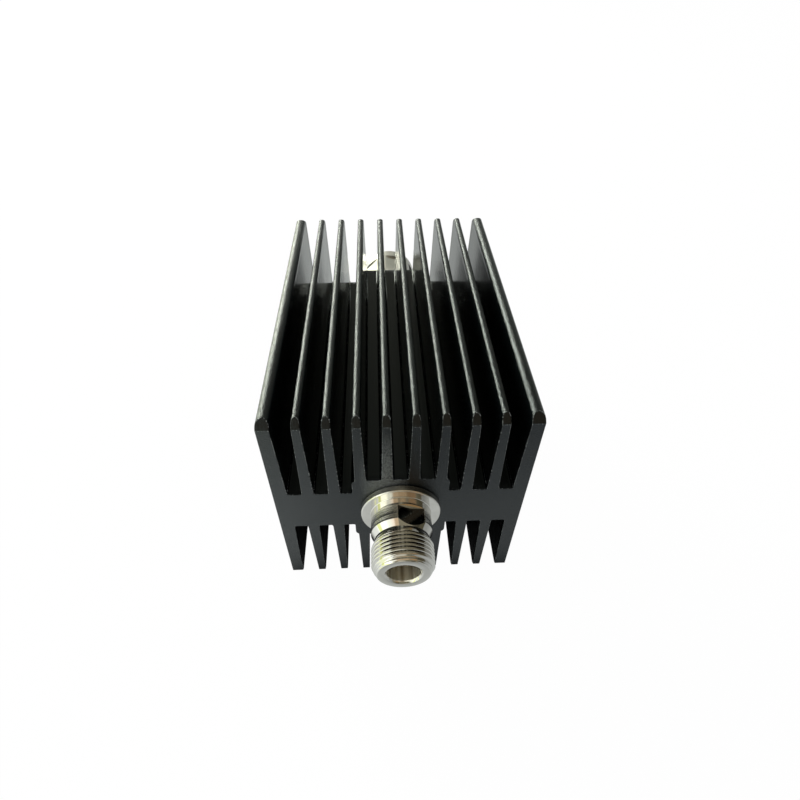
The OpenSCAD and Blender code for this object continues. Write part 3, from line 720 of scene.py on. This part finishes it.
# %% Sizes of the jack
JACK_COLUMNS = 144
BODY_R, FLAT_R, RELIEF_R = 7.95, 7.05, 6.95
FLATS_FROM, CONE_FROM, CONE_TO = 4.0, 8.0, 9.6
THREAD_FROM, JACK_LEN = 10.142, 19.1
NOSE_END, NOSE_SLOPE = (6.77, 18.88), 0.655
MOUTH_R, MOUTH_DEEP, SOCKET_R, SOCKET_FLOOR = 4.80, 0.6, 4.2, 10.0
AIR_LINE_R, POCKET_R, POCKET_FLOOR = 3.5, 5.1, 6.0
TAIL_R, TAIL_EDGE, TAIL_END = 8.0, 0.25, -9.9
SEAL_FROM_R, SEAL_TO_R, SEAL_DEEP = 8.43, 9.73, 0.8
FLANGE_R, FLANGE_T, FLANGE_EDGE = 10.6, 2.0, 0.25
JACK_FLATS_TURN, JACK_THREAD_TURN = math.radians(70), math.radians(-90)
PORT_ROUND = 0.06  # on the edges of the jack and the nut
print("jack", JACK_LEN, "mm long, flange", 2 * FLANGE_R, "mm across")


# %% Helper: rings cut by the flats
LEAST_CUT = 1e-3  # a flat that cuts less deep than this doesn't count as one


def jack_flat(column):
    """Radius of the wrench flats in a column, or None where the body is round."""
    angle = 2 * math.pi * column / JACK_COLUMNS - JACK_FLATS_TURN
    radius = FLAT_R / abs(math.cos(angle))
    return radius if radius < BODY_R - LEAST_CUT else None


def scallop(column):
    """Where the flat, or else the round body, ends on the cone."""
    flat = jack_flat(column)
    if flat is None:
        return (BODY_R, CONE_FROM)
    share = (BODY_R - flat) / (BODY_R - RELIEF_R)
    return (flat, CONE_FROM + share * (CONE_TO - CONE_FROM))


# %% Rings of the jack, from the nose in through the bore and back outside
jack_rings = [
    NOSE_END, (6.53, 19.06), (6.48, JACK_LEN),
    (MOUTH_R, JACK_LEN), (SOCKET_R, JACK_LEN - MOUTH_DEEP), (SOCKET_R, SOCKET_FLOOR),
    (AIR_LINE_R, SOCKET_FLOOR), (AIR_LINE_R, POCKET_FLOOR),
    (POCKET_R, POCKET_FLOOR), (POCKET_R, TAIL_END),
    (TAIL_R - TAIL_EDGE, TAIL_END), (TAIL_R, TAIL_END + TAIL_EDGE), (TAIL_R, 0.0),
    (SEAL_FROM_R, 0.0), (SEAL_FROM_R, SEAL_DEEP), (SEAL_TO_R, SEAL_DEEP), (SEAL_TO_R, 0.0),
    (10.3, 0.0), (FLANGE_R, 0.35),  # the flange's back edge is broken a little more
    (FLANGE_R, FLANGE_T - FLANGE_EDGE), (FLANGE_R - FLANGE_EDGE, FLANGE_T),
    (BODY_R + 0.25, FLANGE_T), (BODY_R + 0.07, FLANGE_T + 0.07),  # a fillet up to the body
    (BODY_R, FLANGE_T + 0.25), (BODY_R, FLATS_FROM),
    [(jack_flat(c) or BODY_R, FLATS_FROM) for c in range(JACK_COLUMNS)],
    [scallop(c) for c in range(JACK_COLUMNS)],
    (RELIEF_R, CONE_TO), (RELIEF_R, THREAD_FROM),
]
jack_core = ring_skin(jack_rings, JACK_COLUMNS)
soften(jack_core, PORT_ROUND)


# %% Helper: close a skin with its thread and hand it to the frame
def port_frame(side):
    """Turns the port frame onto an end face: side is -1 at the front and 1 at the rear."""
    return (Matrix.Translation((0, side * HALF_LEN * MM, AXIS_Z * MM))
            @ Matrix.Rotation(-side * math.pi / 2, 4, "X"))


FRONT, REAR = port_frame(-1), port_frame(1)
RIM_MERGE = 2e-3  # the thread's end rings and the core's are computed apart


def threaded_piece(name, core, thread, port, body, node_name):
    """Sews a core to its thread along both rims and makes it a nickel-plated piece."""
    core.from_mesh(thread)
    bmesh.ops.remove_doubles(core, verts=core.verts, dist=RIM_MERGE)
    bmesh.ops.dissolve_degenerate(core, edges=core.edges, dist=MERGE_WITHIN)
    hand_over(core, name, port, NICKEL, body, node_name)


# %% Grow the thread and finish the jack
jack_thread = grown_mesh(THREAD_TREE, {
    "Crest Radius": 15.875 / 2, "Depth": 0.74, "Start": THREAD_FROM, "Start Radius": RELIEF_R,
    "Start Slope": 0.5, "End": NOSE_END[1], "End Radius": NOSE_END[0],
    "End Slope": NOSE_SLOPE, "Outward": 1.0, "Phase": JACK_THREAD_TURN, "Nose Cut": 0.32,
    "Columns": JACK_COLUMNS, "Turns": 10, "Material": NICKEL})
threaded_piece("threaded_jack", jack_core, jack_thread, FRONT, "housing", "front_jack_body")

# %% [markdown]
# ## The coupling nut
# The nut is a turned sleeve with six wrench flats and the mating thread inside. A plain
# hexagon would be wrong, because its corners are turned off round. Its skin is made as
# the jack's is, with the thread facing inward: the same tree, told to grow its form
# towards the axis.

# %% Sizes of the nut
NUT_COLUMNS = 168
NUT_TURN = math.radians(13)
NUT_R, NUT_FLAT_R, NUT_EDGE = 10.2, 9.5, 0.4
NUT_BACK, NUT_FRONT = 2.8, 19.1
NUT_FLATS_BACK, NUT_FLATS_FRONT = 5.0, 15.0
NUT_MOUTH_R, NUT_BORE_R, NUT_WALL_END = 8.0, 7.15, 7.0
RING_SLOT_R, RING_SLOT_BACK, RING_SLOT_FRONT = 7.85, 4.25, 5.55
NUT_RELIEF_R, NUT_THREAD_FROM = 8.15, 10.3
print("nut", round(NUT_FRONT - NUT_BACK, 3), "mm long,", 2 * NUT_FLAT_R, "mm across flats")


# %% Rings of the nut, from the mouth back outside and in through the bore
def nut_hexagon(s):
    """A ring of six flats whose corners are turned off at the nut's own radius."""
    ring = []
    for column in range(NUT_COLUMNS):
        angle = 2 * math.pi * column / NUT_COLUMNS
        from_flat = (angle % (math.pi / 3)) - math.pi / 6
        ring.append((min(NUT_R, NUT_FLAT_R / math.cos(from_flat)), s))
    return ring


nut_rings = [
    (NUT_MOUTH_R, NUT_FRONT), (NUT_R - NUT_EDGE, NUT_FRONT), (NUT_R, NUT_FRONT - NUT_EDGE),
    (NUT_R, NUT_FLATS_FRONT), nut_hexagon(NUT_FLATS_FRONT),
    nut_hexagon(NUT_FLATS_BACK), (NUT_R, NUT_FLATS_BACK),
    (NUT_R, NUT_BACK + NUT_EDGE), (NUT_R - NUT_EDGE, NUT_BACK), (NUT_BORE_R, NUT_BACK),
    (NUT_BORE_R, RING_SLOT_BACK), (RING_SLOT_R, RING_SLOT_BACK),
    (RING_SLOT_R, RING_SLOT_FRONT), (NUT_BORE_R, RING_SLOT_FRONT),
    (NUT_BORE_R, NUT_WALL_END), (NUT_RELIEF_R, NUT_WALL_END), (NUT_RELIEF_R, NUT_THREAD_FROM),
]
nut_core = ring_skin(nut_rings, NUT_COLUMNS, phase=NUT_TURN)
soften(nut_core, PORT_ROUND)

# %% Grow the inner thread and finish the nut
nut_thread = grown_mesh(THREAD_TREE, {
    "Crest Radius": 7.5, "Depth": 0.47, "Start": NUT_THREAD_FROM, "Start Radius": NUT_RELIEF_R,
    "Start Slope": 1.3, "End": NUT_FRONT, "End Radius": NUT_MOUTH_R, "End Slope": 1.0,
    "Outward": -1.0, "Columns": NUT_COLUMNS, "Phase": NUT_TURN, "Turns": 10,
    "Material": NICKEL})
threaded_piece("threaded_nut", nut_core, nut_thread, REAR, "nut", "coupling_nut")

# %% [markdown]
# ## A white world
# The photograph was cut out on pure white. Brighter lamps could bleach a grey backdrop,
# but they would bleach the object too. Light Path is the better way: where the camera or
# a reflection looks the world is plain white, and as light it is softer and a bit cool.


# %% Helper: which rays look at the backdrop
def mirror_ray(tree, path):
    """1 for rays that left a mirror or came through glass."""
    return maths(tree, "MAXIMUM", path["Is Glossy Ray"], path["Is Transmission Ray"])


# %% World
WHITE, SOFT_LIGHT, SOFT_STRENGTH = (1.0, 1.0, 1.0), (0.93, 0.96, 1.0), 0.55

world = bpy.data.worlds.new("studio")
bpy.context.scene.world = world
world.use_nodes = True
tree = world.node_tree
tree.nodes.clear()
path = put(tree, "ShaderNodeLightPath").outputs
seen = maths(tree, "MAXIMUM", path["Is Camera Ray"], mirror_ray(tree, path))
soft = put(tree, "ShaderNodeBackground", {"Color": (*SOFT_LIGHT, 1.0),
                                          "Strength": SOFT_STRENGTH})
white = put(tree, "ShaderNodeBackground", {"Color": (*WHITE, 1.0), "Strength": 1.0})
both = put(tree, "ShaderNodeMixShader", {0: seen, 1: soft.outputs[0], 2: white.outputs[0]})
put(tree, "ShaderNodeOutputWorld", {0: both.outputs[0]})
print("world:", world.name)

# %% [markdown]
# ## The floor
# The floor is partly its own light, so that it is as white as the world and still takes
# a faint shadow: the object stands on something. The black gloss of the fins mirrors the
# floor more than anything else, and a real table is never evenly lit. So mirrors see a
# floor with painted light and shade: bright towards the window, dim on the right, a
# painted shadow under the object and below the camera, and one bright painted stripe at
# the front left.

# %% Floor: the sheet and its paint
FLOOR_HALF = 6.0  # in metres, as are all places on the floor


def scenery(name, corners):
    """One four-sided sheet with an empty material. Returns it and the material's tree."""
    mesh = bpy.data.meshes.new(name)
    mesh.from_pydata(corners, [], [(0, 1, 2, 3)])
    sheet = add_object(name, mesh)
    material, tree = empty_material(name + "_paint")
    mesh.materials.append(material)
    print("sheet", name, corners)
    return sheet, tree


floor, tree = scenery("floor", [(-FLOOR_HALF, -FLOOR_HALF, 0), (FLOOR_HALF, -FLOOR_HALF, 0),
                                (FLOOR_HALF, FLOOR_HALF, 0), (-FLOOR_HALF, FLOOR_HALF, 0)])

# %% Floor: how bright the mirrors see it
UNDER_LENS = (0.002, -0.130, 0.0)

spot = put(tree, "ShaderNodeTexCoord").outputs["Object"]
x, y = put(tree, "ShaderNodeSeparateXYZ", {0: spot}).outputs[:2]
# Painted light and shade on the floor, seen only in mirrors: bright towards the window, dim on
# the right
window_side = ramp(tree, x, -0.075, 0.0, at_low=1.25, at_high=0.70, smooth=True)
right_loss = ramp(tree, x, 0.0, 0.16, at_high=0.38, smooth=True)
far_left = ramp(tree, x, -0.45, -0.08, at_low=1.3, at_high=0.0, smooth=True)
tone = maths(tree, "ADD", maths(tree, "SUBTRACT", window_side, right_loss), far_left)
# Painted shadows: one under the object, and one below the camera
beside = ramp(tree, maths(tree, "ABSOLUTE", x), 0.034, 0.050, smooth=True)
before = ramp(tree, maths(tree, "ABSOLUTE", y), 0.048, 0.058, smooth=True)
to_lens = put(tree, "ShaderNodeVectorMath", {0: spot, 1: UNDER_LENS},
              operation="DISTANCE").outputs["Value"]
for dimming in (maths(tree, "MAXIMUM", beside, before),
                ramp(tree, to_lens, 0.016, 0.056, at_low=0.2, smooth=True),
                ramp(tree, y, 0.05, 0.12, at_low=1.0, at_high=0.77, smooth=True)):
    tone = maths(tree, "MULTIPLY", tone, dimming)
print("floor tone nodes:", len(tree.nodes))

# %% Floor: its colour in mirrors
FLOOR_TINT, STRIPE_TINT = (0.95, 1.0, 0.98), (1.25, 1.32, 0.80)

# A painted bright stripe at the front left, seen only in mirrors
in_front = ramp(tree, y, -0.11, -0.09, at_low=1.0, at_high=0.0, smooth=True)
across = maths(tree, "MULTIPLY", ramp(tree, x, -0.105, -0.095, smooth=True),
               ramp(tree, x, -0.068, -0.058, at_low=1.0, at_high=0.0, smooth=True))
stripe = maths(tree, "MULTIPLY", in_front, across)
mirrored = mixed(tree, stripe, FLOOR_TINT, STRIPE_TINT)
print("floor tints:", FLOOR_TINT, STRIPE_TINT)

# %% Floor: light of its own over white paint
FLOOR_PAINT = (0.96, 0.96, 0.96)
CAMERA_SHARE, MIRROR_SHARE = 0.985, 0.8  # how much of what each sees is the own light

path = put(tree, "ShaderNodeLightPath").outputs
mirror = mirror_ray(tree, path)
paint = put(tree, "ShaderNodeBsdfDiffuse", {"Color": (*FLOOR_PAINT, 1.0)})
glow = put(tree, "ShaderNodeEmission", {
    "Color": mixed(tree, mirror, WHITE, mirrored),
    "Strength": maths(tree, "MAXIMUM", path["Is Camera Ray"],
                      maths(tree, "MULTIPLY", mirror, tone))})
share = maths(tree, "MAXIMUM", maths(tree, "MULTIPLY", path["Is Camera Ray"], CAMERA_SHARE),
              maths(tree, "MULTIPLY", mirror, MIRROR_SHARE))
both = put(tree, "ShaderNodeMixShader", {0: share, 1: paint.outputs[0], 2: glow.outputs[0]})
put(tree, "ShaderNodeOutputMaterial", {0: both.outputs[0]})
print("floor tree nodes:", len(tree.nodes))

# %% [markdown]
# ## The window
# One broad light from behind on the left gives the crests their long highlights. A sun
# would draw them as hard lines, so it is a soft rectangle, turned as a window would be.

# %% The window lamp
WINDOW_AT, WINDOW_AIM = (-0.72, 0.91, 0.47), (0, 0, 0.05)  # in metres
WINDOW_SIZE, WINDOW_WATTS, WINDOW_COLOUR = (0.80, 0.27), 23.0, (0.98, 1.0, 0.86)
WINDOW_ROLL = math.radians(-28)  # about its own beam

window_light = bpy.data.lights.new("window", "AREA")
window_light.shape = "RECTANGLE"
window_light.size, window_light.size_y = WINDOW_SIZE
window_light.energy = WINDOW_WATTS
window_light.color = WINDOW_COLOUR
window = add_object("window", window_light)
window.location = WINDOW_AT
window.rotation_mode = "QUATERNION"
facing = (Vector(WINDOW_AIM) - Vector(WINDOW_AT)).to_track_quat("-Z", "Y")
window.rotation_quaternion = facing @ Quaternion((0, 0, 1), WINDOW_ROLL)

# %% [markdown]
# ## The room that the metal mirrors
# Plated metal has no look of its own: it shows the room. In front of a bright jack a
# studio has the dim side where the camera stands, pale walls and a paler window side. A
# picture of a room wrapped round the scene would do this, but then the lesson would need
# an image file. A dome is enough: it is seen only by reflections, and a few soft masks
# over its directions say where it is dim and where it is bright.


# %% Dome: a ball round the scene
def only_in_mirrors(thing):
    """Hides a thing from the camera and from plain light."""
    thing.visible_camera = thing.visible_diffuse = thing.visible_shadow = False


DOME_R = 3.0  # in metres
dome_mesh = bpy.data.meshes.new("room_dome")
ball = bmesh.new()
bmesh.ops.create_uvsphere(ball, u_segments=48, v_segments=24, radius=DOME_R)
ball.to_mesh(dome_mesh)
ball.free()
dome = add_object("room_dome", dome_mesh)
only_in_mirrors(dome)
room, tree = empty_material("room")
dome_mesh.materials.append(room)
print("dome:", len(dome_mesh.polygons), "faces")

# %% Helper: masks over the dome's directions
unit = put(tree, "ShaderNodeVectorMath", {
    0: put(tree, "ShaderNodeTexCoord").outputs["Object"]}, operation="NORMALIZE").outputs[0]
rise = put(tree, "ShaderNodeSeparateXYZ", {0: unit}).outputs["Z"]
height = maths(tree, "DEGREES", maths(tree, "ARCSINE", rise))


def toward(azimuth, elevation):
    """A direction from degrees: azimuth 0 is behind the object and 90 to its right."""
    a, e = math.radians(azimuth), math.radians(elevation)
    return (math.sin(a) * math.cos(e), math.cos(a) * math.cos(e), math.sin(e))


def patch(azimuth, elevation, inner, outer):
    """A soft round mask in a direction. inner and outer are its edges in degrees."""
    closeness = put(tree, "ShaderNodeVectorMath", {0: unit, 1: toward(azimuth, elevation)},
                    operation="DOT_PRODUCT").outputs["Value"]
    return ramp(tree, closeness, math.cos(math.radians(outer)), math.cos(math.radians(inner)),
                smooth=True)


def band(value, low, high, soft):
    """1 between low and high, falling to 0 over soft on both sides."""
    return maths(tree, "MULTIPLY", ramp(tree, value, low - soft, low),
                 ramp(tree, value, high, high + soft, at_low=1.0, at_high=0.0))


# %% Dome: its colours, each painted over the ones before
WALLS = (0.30, 0.275, 0.20)
DIM_PATCHES = (  # azimuth, elevation, inner edge, outer edge, colour
    (95, 8, 28, 40, (0.11, 0.10, 0.065)),  # dim furniture on the right
    (80, -2, 4, 9, (0.34, 0.34, 0.25)),
    (20, 15, 20, 34, (0.28, 0.31, 0.27)),
    (178, 16, 20, 30, (0.24, 0.22, 0.15)),  # the dim side behind the camera
    (155, 12, 5, 9, (0.10, 0.09, 0.06)),
    (140, 34, 10, 18, (0.42, 0.28, 0.16)),  # wood and warm light round the camera
    (147, 21, 5, 9, (0.54, 0.34, 0.16)),
    (184, 3, 9, 14, (0.74, 0.70, 0.58)),
    (172, 47, 11, 17, (0.62, 0.46, 0.29)),
    (205, 50, 7, 12, (0.78, 0.60, 0.40)),
    (226, 44, 5, 11, (1.40, 1.15, 0.92)),
    (108, 34, 10, 16, (0.06, 0.055, 0.04)))
WINDOW_SIDE = (1.45, 1.50, 1.34)
BRIGHT_PATCHES = (
    (-128, 12, 12, 22, (2.50, 2.55, 2.20)),  # a second window, at the front left
    (-90, 2, 6, 12, (2.0, 2.05, 1.6)),
    (-8, 17, 4, 24, (2.6, 2.65, 2.40)),  # a pale wall low behind the object
    (0, 53, 8, 13, (0.17, 0.18, 0.14)),  # dim again, high above it
    (-52, 5, 6, 16, (2.6, 2.7, 2.4)),
    (0, 37, 10, 22, (0.27, 0.27, 0.22)))  # dim too, between the two

look = WALLS
for *where, colour in DIM_PATCHES:
    look = mixed(tree, patch(*where), look, colour)
window_side = maths(tree, "MULTIPLY", patch(-106, 8, 44, 56), band(height, -30, 38, 14))
look = mixed(tree, window_side, look, WINDOW_SIDE)
for *where, colour in BRIGHT_PATCHES:
    look = mixed(tree, patch(*where), look, colour)
glow = put(tree, "ShaderNodeEmission", {0: look, "Strength": 1.0})
put(tree, "ShaderNodeOutputMaterial", {0: glow.outputs[0]})
print("dome patches:", len(DIM_PATCHES) + len(BRIGHT_PATCHES))

# %% [markdown]
# ## A strip beside the object
# The jack's left side mirrors a thin, yellowish line low over the table. A patch on the
# dome could be as thin, but the dome is so far away that every point of the metal would
# see it in one direction. The mirror image of a narrow sheet close by moves along the
# metal, as that of the real thing does.

# %% A strip beside the object
STRIP_X, STRIP_HALF, STRIP_LOW, STRIP_HIGH = -0.15, 0.4, 0.02, 0.055  # in metres
STRIP_COLOUR, STRIP_STRENGTH = (1.0, 1.08, 0.50), 1.35

strip, tree = scenery("side_strip", [
    (STRIP_X, -STRIP_HALF, STRIP_LOW), (STRIP_X, STRIP_HALF, STRIP_LOW),
    (STRIP_X, STRIP_HALF, STRIP_HIGH), (STRIP_X, -STRIP_HALF, STRIP_HIGH)])
only_in_mirrors(strip)
glow = put(tree, "ShaderNodeEmission", {"Color": (*STRIP_COLOUR, 1.0),
                                        "Strength": STRIP_STRENGTH})
put(tree, "ShaderNodeOutputMaterial", {0: glow.outputs[0]})
